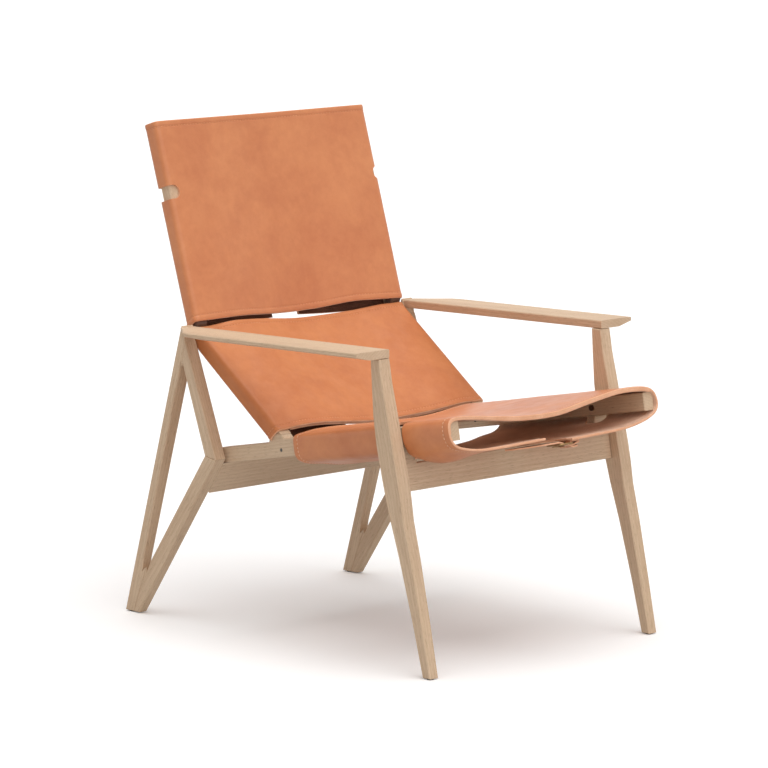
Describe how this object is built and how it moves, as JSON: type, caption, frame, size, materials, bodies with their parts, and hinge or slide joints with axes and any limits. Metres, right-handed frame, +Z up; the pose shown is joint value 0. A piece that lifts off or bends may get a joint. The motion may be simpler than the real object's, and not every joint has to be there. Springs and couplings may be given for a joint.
{
  "type": "leather sling lounge chair",
  "caption": "Low wooden lounge chair with angled legs and armrests, whose seat, lumbar and back are leather slings wrapped round rails and buckled behind.",
  "frame": {"origin": "on the floor, under the middle of the chair's bounding box", "axes": "+Z up; the sitter faces -Y; +X is the sitter's left"},
  "size_m": [0.691, 0.8574, 0.9249],
  "materials": {
    "wood": "pale oiled oak, satin",
    "sling_leather": "tan saddle leather, light cut edges, soft sheen",
    "belt_leather": "tan saddle leather straps, light cut edges",
    "brass": "satin brass buckle",
    "steel": "blackened steel fixing",
    "glide": "dark plastic glide"
  },
  "bodies": {
    "chair": {"front_leg_right": "wood", "rear_leg_right": "wood", "upper_strut_right": "wood", "lower_strut_right": "wood", "armrest_right": "wood", "front_glide_right": "glide", "rear_glide_right": "glide", "front_leg_left": "wood", "rear_leg_left": "wood", "upper_strut_left": "wood", "lower_strut_left": "wood", "armrest_left": "wood", "front_glide_left": "glide", "rear_glide_left": "glide", "front_cross_rail": "wood", "rear_cross_rail": "wood", "back_spreader": "wood", "seat_rail_right": "wood", "back_upright_right": "wood", "seat_spacer_right": "steel", "seat_bolt_right": "steel", "back_spacer_right": "steel", "back_bolt_right": "steel", "lobe_screw_right": "steel", "seat_rail_left": "wood", "back_upright_left": "wood", "seat_spacer_left": "steel", "seat_bolt_left": "steel", "back_spacer_left": "steel", "back_bolt_left": "steel", "lobe_screw_left": "steel", "seat_sling": "sling_leather", "lumbar_sling": "sling_leather", "back_sling": "sling_leather", "seat_belt_1_strap": "belt_leather", "seat_belt_1_chape": "belt_leather", "seat_belt_1_buckle_frame": "brass", "seat_belt_2_strap": "belt_leather", "seat_belt_2_chape": "belt_leather", "seat_belt_2_buckle_frame": "brass", "lumbar_belt_1_strap": "belt_leather", "lumbar_belt_1_chape": "belt_leather", "lumbar_belt_1_buckle_frame": "brass", "back_belt_1_strap": "belt_leather", "back_belt_1_chape": "belt_leather", "back_belt_1_buckle_frame": "brass", "back_belt_2_strap": "belt_leather", "back_belt_2_chape": "belt_leather", "back_belt_2_buckle_frame": "brass"},
    "seat_belt_1_buckle_prong": {"seat_belt_1_buckle_prong": "brass"},
    "seat_belt_2_buckle_prong": {"seat_belt_2_buckle_prong": "brass"},
    "lumbar_belt_1_buckle_prong": {"lumbar_belt_1_buckle_prong": "brass"},
    "back_belt_1_buckle_prong": {"back_belt_1_buckle_prong": "brass"},
    "back_belt_2_buckle_prong": {"back_belt_2_buckle_prong": "brass"}
  },
  "joints": [
    {"name": "seat_belt_1_prong_hinge", "type": "hinge", "parent": "chair", "child": "seat_belt_1_buckle_prong", "pos_m": [0.038, -0.14242, 0.3331], "axis": [0, -0.9828, 0.1848], "range_deg": [0, 35]},
    {"name": "seat_belt_2_prong_hinge", "type": "hinge", "parent": "chair", "child": "seat_belt_2_buckle_prong", "pos_m": [0.038, -0.40777, 0.383], "axis": [0, -0.9828, 0.1848], "range_deg": [0, 35]},
    {"name": "lumbar_belt_1_prong_hinge", "type": "hinge", "parent": "chair", "child": "lumbar_belt_1_buckle_prong", "pos_m": [0.038, 0.17078, 0.4196], "axis": [0, -0.808, -0.5892], "range_deg": [0, 35]},
    {"name": "back_belt_1_prong_hinge", "type": "hinge", "parent": "chair", "child": "back_belt_1_buckle_prong", "pos_m": [0.038, 0.32701, 0.62716], "axis": [0, -0.2962, -0.9551], "range_deg": [0, 35]},
    {"name": "back_belt_2_prong_hinge", "type": "hinge", "parent": "chair", "child": "back_belt_2_buckle_prong", "pos_m": [0.038, 0.37972, 0.82021], "axis": [0, -0.2962, -0.9551], "range_deg": [0, 35]}
  ]
}
